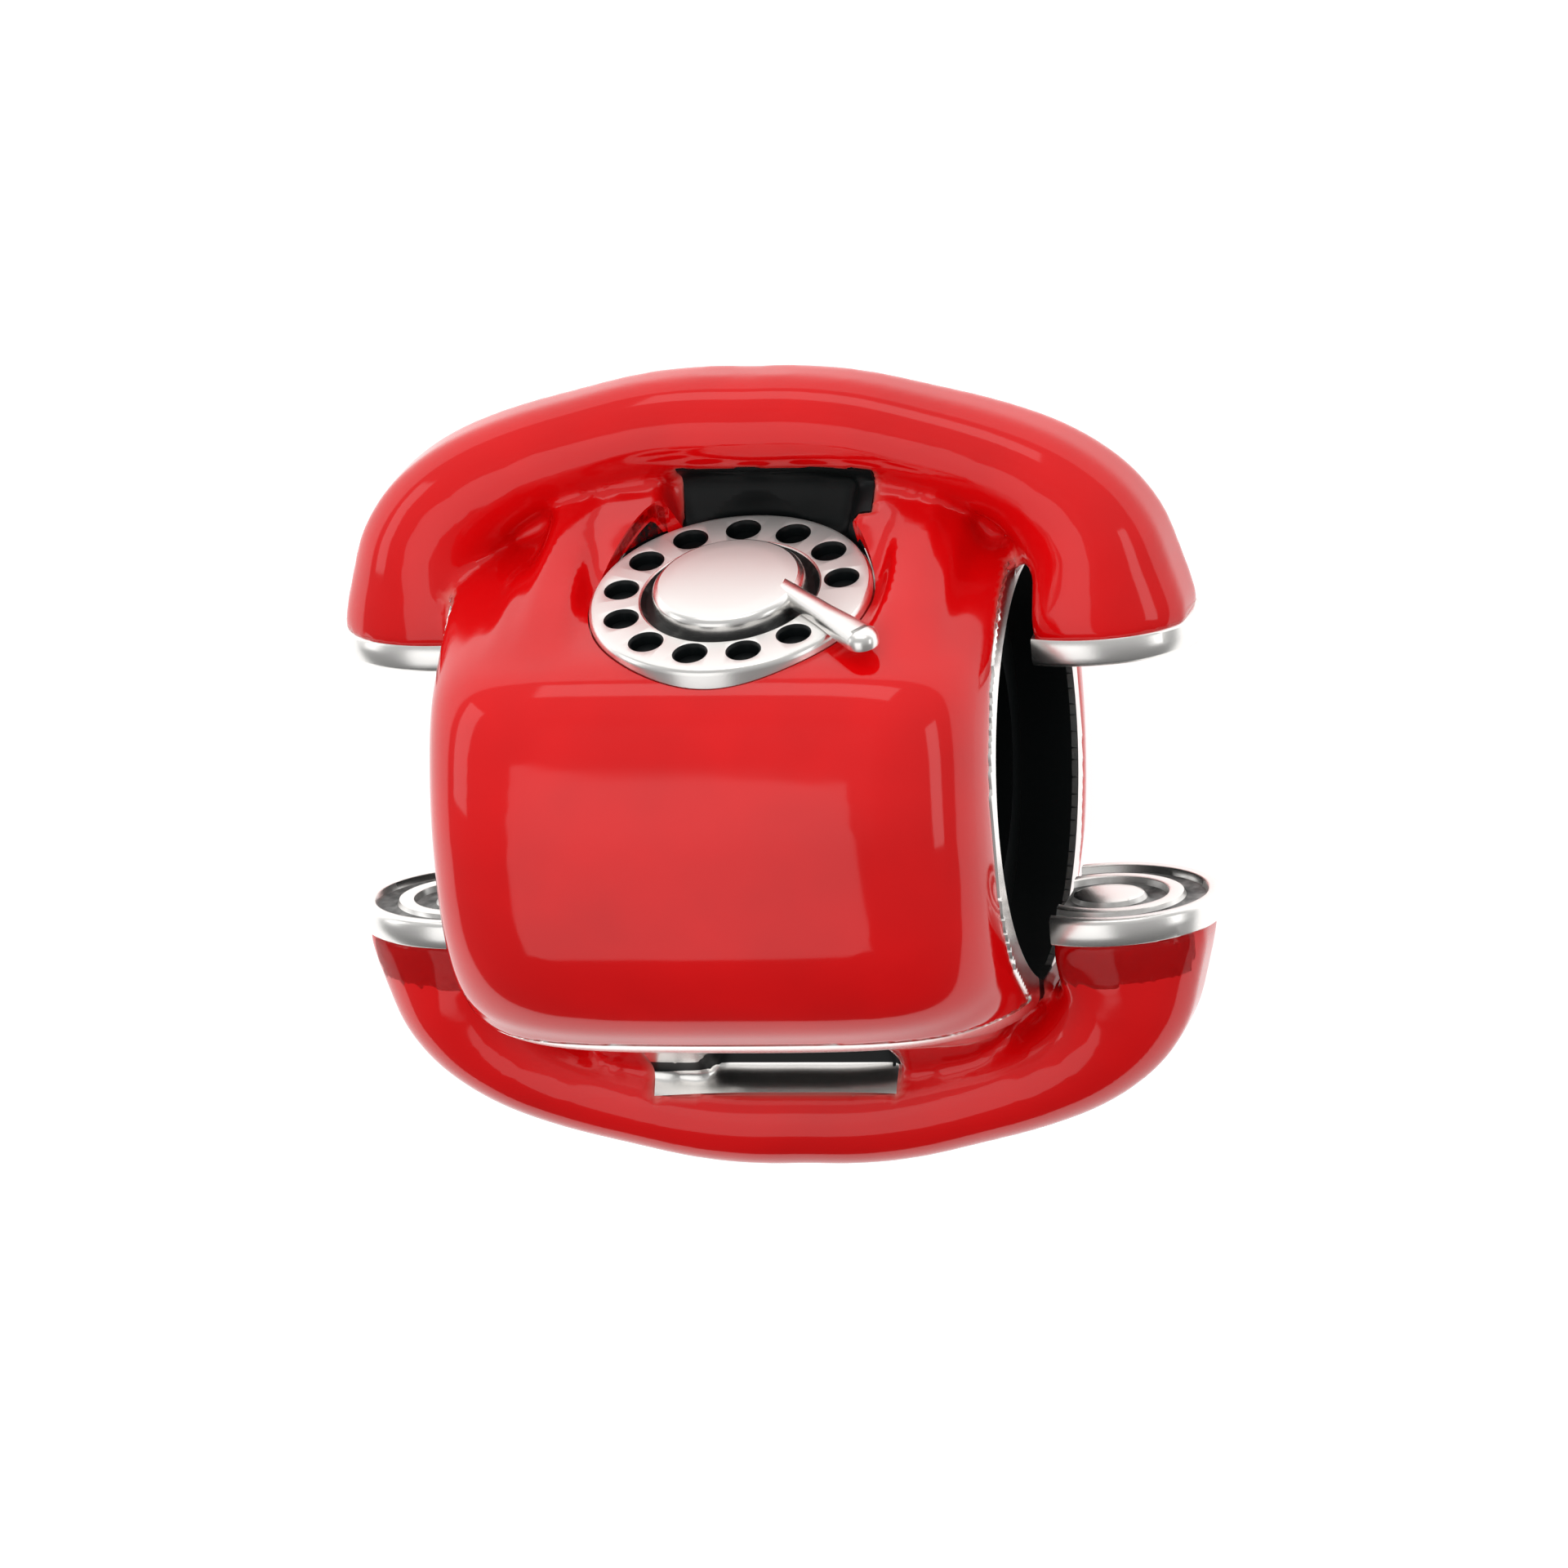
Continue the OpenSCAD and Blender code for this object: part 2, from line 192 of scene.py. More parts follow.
def smoothRow(table, t):
    # Catmull-Rom through the table's rows, t counted in rows
    last = len(table) - 1
    i = min(int(t), last - 1)
    f = t - i
    p0, p1, p2, p3 = (np.array(table[max(0, min(last, i + d))], float) for d in (-1, 0, 1, 2))
    return 0.5 * (2 * p1 + (p2 - p0) * f + (2 * p0 - 5 * p1 + 4 * p2 - p3) * f ** 2
                  + (3 * p1 - p0 - 3 * p2 + p3) * f ** 3)


def bake(obj):
    # the modifiers become the mesh
    graph = bpy.context.evaluated_depsgraph_get()
    mesh = bpy.data.meshes.new_from_object(obj.evaluated_get(graph))
    old = obj.data
    obj.modifiers.clear()
    obj.data = mesh
    bpy.data.meshes.remove(old)


def modify(obj, kind, **settings):
    mod = obj.modifiers.new(kind.lower(), kind)
    for key, value in settings.items():
        setattr(mod, key, value)
    bake(obj)


def cut(obj, cutter, operation="DIFFERENCE"):
    modify(obj, "BOOLEAN", object=cutter, operation=operation, solver="MANIFOLD")
    remove(cutter)


def remove(obj):
    mesh = obj.data
    bpy.data.objects.remove(obj)
    bpy.data.meshes.remove(mesh)


def halfTurn(obj, name):
    # the same mesh turned about the bore axis
    copied = bpy.data.objects.new(name, obj.data.copy())
    bpy.context.scene.collection.objects.link(copied)
    return turnOver(copied)


def turnOver(obj):
    obj.data.transform(Matrix.Rotation(math.pi, 4, "X"))
    return obj


def joined(name, objs):
    with bpy.context.temp_override(active_object=objs[0], object=objs[0], selected_objects=objs,
                                   selected_editable_objects=objs):
        bpy.ops.object.join()
    objs[0].name = name
    objs[0].data.name = name
    return objs[0]


def tube(name, start, length, radius, steps=128):
    turns = [2 * math.pi * k / steps for k in range(steps)]
    return loft(name, [[(x, radius * math.cos(a), radius * math.sin(a)) for a in turns]
                       for x in (start, start + length)])


# The telephone bodies: one closed loft from end to end of the bead

def rimRadius(y, z):
    a = math.atan2(-y, z) + math.radians(bodyShape["lean"])
    return 1 / math.hypot(math.cos(a) / bodyShape["rimHalfHeight"], math.sin(a) / bodyShape["rimHalfWidth"])


def fullness(x):
    return max(0, 1 - (abs(x) / bodyShape["halfLength"]) ** bodyShape["power"]) ** bodyShape["root"]


def sharesAt(x):
    table = bodyShape["stations"]
    for low, high in zip(table, table[1:]):
        if x <= high[0]:
            f = (x - low[0]) / (high[0] - low[0])
            f = f * f * (3 - 2 * f)
            return low[1] + (high[1] - low[1]) * f, low[2] + (high[2] - low[2]) * f
    return 0, 0


def bodySection(x, perRow=5):
    post, shoulder = sharesAt(x)
    rows = []
    for y, z, raisedY, raisedZ, kind in bodyShape["outline"]:
        share = (0, post, shoulder)[kind]
        rows.append((y + (raisedY - y) * share, z + (raisedZ - z) * share))
    rows.append((-rows[0][0], -rows[0][1]))
    half = []
    full = fullness(x)
    for k in range((len(rows) - 1) * perRow):
        y, z = smoothRow(rows, k / perRow)
        atRim = rimRadius(y, z) / math.hypot(y, z)
        tapered = 1 - bodyShape["taper"] * (x / bodyShape["halfLength"]) ** 2
        grow = atRim + (tapered - atRim) * full
        half.append((bodyShape["shift"] + x, y * grow, z * grow))
    return half + [(px, -py, -pz) for px, py, pz in half]


def bodySolid(steps=48):
    # sections closer together towards the ends
    half = bodyShape["halfLength"]
    places = [half * math.sin(math.pi / 2 * k / steps) for k in range(-steps, steps + 1)]
    return loft("body", [bodySection(x) for x in places])


# The handset: a curved bar with an earpiece at each end

def handsetSection(side, row, steps=72):
    x, z, slope, high, deep = row
    slope = math.radians(slope)
    ring = []
    for k in range(steps):
        a = 2 * math.pi * k / steps
        up = high * min(math.cos(a), handsetShape["flat"])
        ring.append((side * (x + up * math.sin(slope)), handsetShape["y"] - deep * math.sin(a),
                     z + up * math.cos(slope)))
    return ring


def handsetSolid(perRow=4):
    rows = handsetShape["rows"]
    steps = [k / perRow for k in range((len(rows) - 1) * perRow + 1)]
    left = [handsetSection(-1, smoothRow(rows, t)) for t in reversed(steps[1:])]
    right = [handsetSection(1, smoothRow(rows, t)) for t in steps]
    bar = loft("handset", left + right)
    cut(bar, roomSolid())
    return bar


def roomSolid():
    # keeps the earpieces clear of the bead's end rims
    return box("room", handsetShape["roomLow"], handsetShape["roomHigh"])


# The bore and its pointed mouths

def mouthArc():
    # a mouth is a lens: two arcs that meet at the top and the bottom, leaning like the end rims
    high, wide = boreShape["mouthHalfHeight"], boreShape["mouthHalfWidth"]
    return high, wide, (high ** 2 + wide ** 2) / (2 * wide)


def boreSolid(where, steps=20):
    half = bodyShape["halfLength"]
    beyond = boreShape["beyond"]
    if where == "middle":
        return tube("bore", bodyShape["shift"] - half - beyond, 2 * (half + beyond), boreShape["radius"])
    high, wide, arc = mouthArc()
    spread = math.asin(high / arc)
    edge = []
    for side in (1, -1):
        for k in range(2 * steps):
            a = spread * (1 - k / steps)
            edge.append((side * (arc * math.cos(a) - (arc - wide)), side * arc * math.sin(a)))
    lean = math.radians(-bodyShape["lean"])
    rings = []
    if where == "right":
        xs = (bodyShape["shift"] + half - boreShape["mouthDepth"], bodyShape["shift"] + half + beyond)
    else:
        xs = (bodyShape["shift"] - half - beyond, bodyShape["shift"] - half + boreShape["mouthDepth"])
    for x in xs:
        rings.append([(x, y * math.cos(lean) - z * math.sin(lean), y * math.sin(lean) + z * math.cos(lean))
                      for y, z in edge])
    return loft("mouth", rings)


def inMouth(p):
    high, wide, arc = mouthArc()
    room = boreShape["bareRoom"]
    a = math.radians(bodyShape["lean"])
    y, z = p.y * math.cos(a) - p.z * math.sin(a), p.y * math.sin(a) + p.z * math.cos(a)
    half = math.sqrt(max(0, arc ** 2 - z ** 2)) - (arc - wide)
    inLens = abs(z) < high + room and abs(y) < half + room
    return inLens and abs(p.x - bodyShape["shift"]) < bodyShape["halfLength"] - boreShape["bareEnd"]


# One molten looking skin over bodies and handsets. The enamel and the silver under it share it.

def castSkin():
    body = bodySolid()
    upper = handsetSolid()
    lower = halfTurn(upper, "lowerHandset")
    wall = box("wall", gapShape["wallLow"], gapShape["wallHigh"])
    skin = joined("skin", [body, upper, lower, wall, halfTurn(wall, "lowerWall")])
    modify(skin, "REMESH", mode="VOXEL", voxel_size=castingLook["voxel"])
    modify(skin, "SMOOTH", factor=castingLook["smoothFactor"], iterations=castingLook["smoothing"])
    for where in ("middle", "left", "right"):
        cut(skin, boreSolid(where))
    return skin


skin = castSkin()
print("skin", len(skin.data.vertices), "points")

rimAt = bodyShape["halfLength"] - bodyShape["rimWidth"]
# where the front enamel stops: height of the lip, depth of the deck, and round the bore and end rims
borders = {
    "lip": -2.84, "deck": -0.62, "bore": 2.2, "rimOver": 0.04, "rimDepth": 0.1, "rimFacing": 0.2,
    # past the deck the other telephone's lip begins, but not over the handset or at the ends
    "otherLip": 0.95, "overDeck": 3.5, "besideDeck": 3.7,
    # how near a face is to a border for the border to cut it, and how far each border runs
    "reach": 0.3, "rimFrom": 2.3, "lipBehind": -1.12, "deckFrom": 2.6, "side": 4,
    "gapFrom": 2.7, "gapSide": 3, "wallFrom": 0.1, "wallTo": 1.2,
}
lipAt, deckAt, reach = borders["lip"], borders["deck"], borders["reach"]


def cutLine(bm, point, normal, near):
    # a clean edge where the enamel ends, in the faces that near() picks
    faces = [f for f in bm.faces if near(f.calc_center_median())]
    geom = faces + list({e for f in faces for e in f.edges}) + list({v for f in faces for v in f.verts})
    bmesh.ops.bisect_plane(bm, geom=geom, plane_co=point, plane_no=normal, dist=1e-5)


def isFrontRed(p, n):
    # bare silver: the bore, the end rims, below the lip, the gap between the posts
    end = p.x - bodyShape["shift"]
    out = math.hypot(p.y, p.z)
    facesOut = n.x * end > -borders["rimFacing"] * abs(end)
    if rimAt < abs(end) < rimAt + borders["rimDepth"] and facesOut:
        if out < rimRadius(p.y, p.z) + borders["rimOver"]:
            return False
    if out < borders["bore"] and abs(end) < bodyShape["halfLength"] or inMouth(p):
        return False
    if p.z < lipAt or p.z < handsetShape["low"] and p.y > deckAt:
        return False
    inGap = gapShape["from"] < p.x < gapShape["to"] and p.z < gapShape["top"]
    behindGap = gapShape["backFrom"] < p.x < gapShape["backTo"] and p.z < gapShape["backTop"]
    if p.y > gapShape["back"] and behindGap or deckAt < p.y <= gapShape["back"] and inGap:
        return False
    return p.y < borders["otherLip"] or p.z > borders["overDeck"] or abs(p.x) > borders["besideDeck"]


def isBackRed(p, n):
    return isFrontRed(turned(p), turned(n))


def turned(p):
    return Vector((p.x, -p.y, -p.z))


bm = bmesh.new()
bm.from_mesh(skin.data)
bmesh.ops.triangulate(bm, faces=[f for f in bm.faces if len(f.verts) > 4])


def inDepth(c, low, high):
    return low < c.y < high and abs(c.x) < borders["gapSide"]


for sign in (1, -1):
    x = bodyShape["shift"] + sign * rimAt
    cutLine(bm, (x, 0, 0), (1, 0, 0),
            lambda c: abs(c.x - x) < reach and math.hypot(c.y, c.z) > borders["rimFrom"])
    cutLine(bm, (0, 0, sign * lipAt), (0, 0, 1),
            lambda c: abs(c.z - sign * lipAt) < reach and sign * c.y < borders["lipBehind"]
            and abs(c.x) < borders["side"])
    cutLine(bm, (0, sign * deckAt, 0), (0, 1, 0),
            lambda c: abs(c.y - sign * deckAt) < reach and sign * c.z > borders["deckFrom"]
            and abs(c.x) < borders["side"])
    # the gap behind the dial, then its far side: depths, sides, top
    for low, high, start, end, top in (
            (deckAt, gapShape["back"], "from", "to", "top"),
            (gapShape["back"] - borders["wallFrom"], borders["wallTo"], "backFrom", "backTo", "backTop")):
        cutLine(bm, (0, 0, sign * gapShape[top]), (0, 0, 1),
                lambda c: inDepth(sign * c, low, high) and abs(sign * c.z - gapShape[top]) < reach)
        for x in (gapShape[start], gapShape[end]):
            cutLine(bm, (x, 0, 0), (1, 0, 0),
                    lambda c: inDepth(sign * c, low, high) and abs(c.x - x) < reach
                    and sign * c.z > borders["gapFrom"])
bm.to_mesh(skin.data)
bm.free()
print("enamel borders cut")


def enamelFrom(name, isRed):
    # outer surface, then the same faces pushed in, joined round the border
    bm = bmesh.new()
    bm.from_mesh(skin.data)
    bm.normal_update()
    gone = [f for f in bm.faces if not isRed(f.calc_center_median(), f.normal)]
    bmesh.ops.delete(bm, geom=gone, context="FACES")
    # its border runs smooth, not along the mesh
    border = [v for v in bm.verts if v.is_boundary]
    for _ in range(castingLook["borderSmoothing"]):
        places = []
        for v in border:
            near = [e.other_vert(v).co for e in v.link_edges if e.is_boundary]
            places.append(v.co * 0.5 + (near[0] + near[1]) * 0.25 if len(near) == 2 else v.co.copy())
        for v, place in zip(border, places):
            v.co = place
    bm.verts.index_update()
    # how many edges a point is from the border, as far as the border is rounded and thin
    ring = set(border)
    level = {v: 0 for v in ring}
    for away in range(1, len(castingLook["edgeThinness"])):
        ring = {e.other_vert(v) for v in ring for e in v.link_edges} - set(level)
        for v in ring:
            level[v] = away
    normals = [v.normal.copy() for v in bm.verts]
    drops = [atLevel("edgeRounding", level.get(v)) for v in bm.verts]
    thinness = [atLevel("edgeThinness", level.get(v)) for v in bm.verts]
    outer = [v.co - n * drop for v, n, drop in zip(bm.verts, normals, drops)]
    inner = [v.co - n * castingLook["enamelDepth"] for v, n in zip(bm.verts, normals)]
    count = len(outer)
    faces = [tuple(v.index for v in f.verts) for f in bm.faces]
    inside = [tuple(i + count for i in reversed(f)) for f in faces]
    sides = []
    for e in bm.edges:
        if e.is_boundary:
            loop = e.link_loops[0]
            a, b = loop.vert.index, loop.link_loop_next.vert.index
            sides.append((b, a, a + count, b + count))
    bm.free()
    obj = newObject(name, outer + inner, faces + inside + sides)
    thin = obj.data.attributes.new("thin", "FLOAT", "POINT")
    thin.data.foreach_set("value", thinness * 2)
    return obj


def atLevel(table, level):
    return castingLook[table][level] if level is not None and level < len(castingLook[table]) else 0.0


def silverFrom(name):
    # the same skin, lowered under the enamel
    mesh = skin.data
    red = np.zeros(len(mesh.vertices), bool)
    plain = np.zeros(len(mesh.vertices), bool)
    for f in mesh.polygons:
        target = red if isFrontRed(f.center, f.normal) or isBackRed(f.center, f.normal) else plain
        for i in f.vertices:
            target[i] = True
    hidden = red & ~plain
    core = pushedIn(name, castingLook["seatDepth"], hidden)
    marks = core.data.attributes.new("hidden", "FLOAT", "POINT")
    marks.data.foreach_set("value", hidden.astype(np.float32))
    return core


def clearOfDials(p):
    beside = abs(p.x) > castingLook["dialSide"]
    return beside or not castingLook["dialLow"] < abs(p.z) < castingLook["dialHigh"]


def thinHidden(core):
    # fewer faces where the enamel hides the silver
    marks = core.data.attributes["hidden"].data
    group = core.vertex_groups.new(name="hidden")
    group.add([v.index for v in core.data.vertices if marks[v.index].value == 1 and clearOfDials(v.co)],
              1.0, "REPLACE")
    modify(core, "DECIMATE", ratio=castingLook["keptShare"], vertex_group="hidden")
    core.vertex_groups.clear()
    core.data.attributes.remove(core.data.attributes["hidden"])


# Where the casting was blackened and not polished back: recesses only. The deck and the wall behind the dials
# are made near black too

def blacken(obj, rule):
    tarnish = obj.data.attributes.new("tarnish", "FLOAT", "FACE")
    tarnish.data.foreach_set("value", [rule(f.center) for f in obj.data.polygons])


def markSatin(obj):
    # flat tops are brushed, not mirror bright
    satin = obj.data.attributes.new("satin", "FLOAT", "FACE")
    satin.data.foreach_set("value", [float(f.normal.z > dialShape["flatTop"]) for f in obj.data.polygons])


def coreDarkness(p):
    if inMouth(p):
        return 1.0
    g = gapShape
    # the deck up to the wall and the wall's far side are made near black, for both telephones
    for q in (p, turned(p)):
        onDeck = deckAt - g["deckRoom"] < q.y < g["wallFace"] and abs(q.x) < g["darkSide"]
        if onDeck and g["darkLow"] < q.z < g["darkHigh"]:
            return 1.0
        if g["wallFace"] <= q.y < g["farBack"] and g["darkLow"] < q.z < g["farHigh"]:
            return 1.0
    return 0.0


def dialTarnish(p):
    # p in the dial's own plane
    d = dialShape
    r = math.hypot(p.x, p.y)
    if not d["darkLow"] <= p.z <= d["darkHigh"] or r > d["radius"] - d["brightRim"]:
        return 0.0
    return d["grooveDark"] if r < d["grooveOut"] + 0.02 else d["holeDark"]


def cupTarnish(p):
    c = cupShape
    up = p.z - c["z"]
    out = math.hypot((abs(p.x) - c["x"]) / c["darkLength"], (p.y - c["y"]) / c["darkDepth"])
    if c["darkFrom"] < up < c["darkTo"] and out < 1:
        return min(c["darkest"], c["lightest"] + up * c["darkening"])
    return 0.0


# The dial: plate with blind finger holes, raised disc, finger stop

def discSolid(name, rows, steps=128):
    # rows of radius and height, from the middle below to the middle above
    turns = [2 * math.pi * k / steps for k in range(steps)]
    rings = []
    for r, z in rows:
        r = max(r, 0.001)
        rings.append([(r * math.cos(a), r * math.sin(a), z) for a in turns])
    return loft(name, rings)


def dialPlaced(obj):
    place = (Matrix.Translation((0, -dialShape["y"], dialShape["z"]))
             @ Matrix.Rotation(math.radians(dialShape["tilt"]), 4, "X"))
    obj.data.transform(place)
    return obj


def dialSolid():
    d = dialShape
    deep = d["grooveDepth"]
    plate = discSolid("plate", [
        (0, -d["sink"]), (d["radius"], -d["sink"]), (d["radius"], -0.09), (d["radius"] - 0.015, -0.045),
        (d["radius"] - 0.05, -0.012), (d["radius"] - 0.1, 0), (d["grooveOut"] + 0.03, 0),
        (d["grooveOut"], -0.015), (d["grooveOut"] - 0.05, -deep + 0.015), (d["grooveOut"] - 0.08, -deep),
        (d["hub"] - 0.1, -deep), (0, -deep)])
    r, low = d["fingerRadius"], -d["fingerDepth"]
    for i in range(1, d["places"]):
        a = math.radians(d["hiddenPlace"] + 360 * i / d["places"])
        # a straight hole with a softened mouth
        hole = discSolid("hole", [(0, low), (r - 0.03, low), (r - 0.01, -0.05), (r, -0.02),
                                  (r + 0.03, 0.004), (r + 0.05, 0.2), (0, 0.2)], 40)
        place = d["fingerRing"] * math.cos(a), d["fingerRing"] * math.sin(a), 0
        hole.data.transform(Matrix.Translation(place))
        cut(plate, hole)
    blacken(plate, dialTarnish)
    markSatin(plate)
    rise = d["hubRise"]
    r = d["hub"]
    # the disc, softened at its edge and slightly domed
    hub = discSolid("hub", [(0, -deep - 0.1), (r, -deep - 0.1), (r, rise - 0.1), (r - 0.012, rise - 0.06),
                            (r - 0.04, rise - 0.025), (r - 0.09, rise), (r * 0.7, rise + 0.03),
                            (r * 0.35, rise + 0.045), (0, rise + 0.05)])
    markSatin(hub)
    return [dialPlaced(plate), dialPlaced(hub), dialPlaced(stopSolid())]


def stopSolid():
    d = dialShape
    length, tip = d["stopLength"], d["stopTip"]
    # from under the disc to the round tip, and back along the other side
    rows = d["stopRows"] + [(length + tip * math.sin(a), tip * math.cos(a))
                            for a in (math.radians(k) for k in range(-10, 90, 10))]
    outline = rows + [(length + tip, 0)] + [(x, -w) for x, w in reversed(rows)]
    rings = []
    for share, inset in d["stopRounding"]:
        z = d["stopLow"] + d["stopThick"] * share
        rings.append([(x - inset if x > length else x, w * (1 - inset / tip), z) for x, w in outline])
    arm = loft("stop", rings)
    arm.data.transform(Matrix.Translation((*d["stopPlace"], 0))
                       @ Matrix.Rotation(math.radians(d["stopAngle"]), 4, "Z"))
    return arm


def cupSolids(steps=96):
    cups = []
    for side in (-1, 1):
        rings = []
        for up, halfLength, halfDepth in cupShape["rows"]:
            rings.append([(side * cupShape["x"] + halfLength * math.cos(2 * math.pi * k / steps),
                           cupShape["y"] + halfDepth * math.sin(2 * math.pi * k / steps), cupShape["z"] + up)
                          for k in range(steps)])
        cup = loft("cup", rings)
        cut(cup, roomSolid())
        blacken(cup, cupTarnish)
        cups.append(cup)
    return cups


def wellSolid(low, high, more=0.0):
    r = dialShape["radius"] + dialShape["wellRoom"] + more
    return dialPlaced(discSolid("well", [(0, low), (r, low), (r, high), (0, high)]))


def pushedIn(name, depth, chosen=None):
    # a copy of the skin, moved in along its normals
    obj = skin.copy()
    obj.data = skin.data.copy()
    obj.name = name
    bpy.context.scene.collection.objects.link(obj)
    mesh = obj.data
    count = len(mesh.vertices)
    points, normals = np.empty(count * 3, np.float32), np.empty(count * 3, np.float32)
    mesh.vertices.foreach_get("co", points)
    mesh.vertex_normals.foreach_get("vector", normals)
    moved = np.ones(count * 3, bool) if chosen is None else chosen.repeat(3)
    points[moved] -= normals[moved] * depth
    mesh.vertices.foreach_set("co", points)
    mesh.update()
    return obj


def collarSolid():
    # thick enamel where the cradle posts come down to the dial's rim
    d = dialShape
    collar = wellSolid(d["collarLow"], d["collarHigh"], d["collarWidth"])
    # cutters reach past the collar, below and above
    cut(collar, wellSolid(d["collarLow"] - 0.08, d["collarHigh"] + 0.15))
    cut(collar, box("gap", gapShape["clearLow"], gapShape["clearHigh"]))
    cut(collar, pushedIn("inner", d["collarInset"]), "INTERSECT")
    return collar


frontEnamel = enamelFrom("frontEnamel", isFrontRed)
backEnamel = enamelFrom("backEnamel", isBackRed)
well = dialShape["wellLow"], dialShape["wellHigh"]
cut(frontEnamel, wellSolid(*well))
cut(backEnamel, turnOver(wellSolid(*well)))
collar = collarSolid()
backCollar = halfTurn(collar, "backCollar")
frontEnamel = joined("frontEnamel", [frontEnamel, collar])
backEnamel = joined("backEnamel", [backEnamel, backCollar])
print("enamel", len(frontEnamel.data.polygons), len(backEnamel.data.polygons))

core = silverFrom("core")
well = -dialShape["fingerDepth"] - dialShape["underHoles"], dialShape["wellHigh"]
cut(core, wellSolid(*well))
cut(core, turnOver(wellSolid(*well)))
# thinned only after its wells are cut, or they stay uncut
thinHidden(core)
blacken(core, coreDarkness)
frontParts = dialSolid() + cupSolids()
backParts = [halfTurn(part, part.name + "Back") for part in frontParts]
silver = joined("silverCasting", [core] + frontParts + backParts)
remove(skin)
silver.data.calc_loop_triangles()
print("silver", len(silver.data.loop_triangles), "triangles")


for obj in (frontEnamel, backEnamel, silver):
    obj.data.transform(Matrix.Scale(mm, 4) @ laid)
    obj.data.shade_smooth()
for obj, angle in ((silver, "silverSharp"), (frontEnamel, "enamelSharp"), (backEnamel, "enamelSharp")):
    obj.data.set_sharp_from_angle(angle=math.radians(castingLook[angle]))


# Materials

def linear(hexColour):
    out = []
    for k in (1, 3, 5):
        c = int(hexColour[k:k + 2], 16) / 255
        out.append(c / 12.92 if c <= 0.04045 else ((c + 0.055) / 1.055) ** 2.4)
    return (*out, 1)


def addNode(tree, kind, settings=None, values=None, links=None):
    node = tree.nodes.new(kind)
    for key, value in (settings or {}).items():
        setattr(node, key, value)
    for key, value in (values or {}).items():
        node.inputs[key].default_value = value
    for key, source in (links or {}).items():
        tree.links.new(source, node.inputs[key])
    return node


def newMaterial(name):
    mat = bpy.data.materials.new(name)
    mat.use_nodes = True
    mat.node_tree.nodes.clear()
    return mat, mat.node_tree


enamelLook = {
    "colour": "#DC0509", "deep": "#CE0407", "edge": "#E29A90", "roughness": 0.08, "ior": 1.5,
    "ripple": 1.4, "rippleHeight": 0.04, "rippleStrength": 0.12, "cloud": 1.6, "paleness": 0.55,
    "bodyRoughness": 0.3,
}


def enamelMaterial():
    # Red vitreous enamel, filled by hand and fired: the glassy coat pools softly,
    # and it pales where it thins over the silver at its edge
    look = enamelLook
    mat, tree = newMaterial("redVitreousEnamel")
    coord = addNode(tree, "ShaderNodeTexCoord")
    cloud = addNode(tree, "ShaderNodeTexNoise", values={"Scale": 1 / (look["cloud"] * mm), "Detail": 2.0},
                    links={"Vector": coord.outputs["Object"]})
    thin = addNode(tree, "ShaderNodeAttribute", {"attribute_name": "thin"})
    depth = addNode(tree, "ShaderNodeMapRange", values={"From Min": 0.3, "From Max": 0.7},
                    links={"Value": cloud.outputs["Fac"]})
    body = addNode(tree, "ShaderNodeMix", {"data_type": "RGBA"},
                   {"A": linear(look["colour"]), "B": linear(look["deep"])},
                   {"Factor": depth.outputs["Result"]})
    edge = addNode(tree, "ShaderNodeMath", {"operation": "MULTIPLY"}, {1: look["paleness"]},
                   {0: thin.outputs["Fac"]})
    colour = addNode(tree, "ShaderNodeMix", {"data_type": "RGBA"}, {"B": linear(look["edge"])},
                     {"Factor": edge.outputs["Value"], "A": body.outputs["Result"]})
    wave = addNode(tree, "ShaderNodeTexNoise", values={"Scale": 1 / (look["ripple"] * mm), "Detail": 1.0},
                   links={"Vector": coord.outputs["Object"]})
    bump = addNode(tree, "ShaderNodeBump",
                   values={"Strength": look["rippleStrength"], "Distance": look["rippleHeight"] * mm},
                   links={"Height": wave.outputs["Fac"]})
    shader = addNode(tree, "ShaderNodeBsdfPrincipled",
                     values={"Roughness": look["bodyRoughness"], "IOR": look["ior"], "Coat Weight": 1.0,
                             "Coat Roughness": look["roughness"], "Coat IOR": look["ior"],
                             "Specular IOR Level": 0.0},
                     links={"Base Color": colour.outputs["Result"], "Coat Normal": bump.outputs["Normal"]})
    addNode(tree, "ShaderNodeOutputMaterial", links={"Surface": shader.outputs["BSDF"]})
    return mat


silverLook = {
    "polished": "#F6F4F1", "oxide": "#070B0C", "roughness": 0.27, "satinRoughness": 0.5,
    "satinMetallic": 0.7, "oxideRoughness": 0.42, "oxideSpecular": 0.25,
    # brush marks in millimetres, how far they break up the tarnish, and where it turns black
    "brush": 0.25, "brushHeight": 0.01, "brushStrength": 0.12, "breakUp": 0.3,
    "darkFrom": 0.3, "darkTo": 0.75,
}


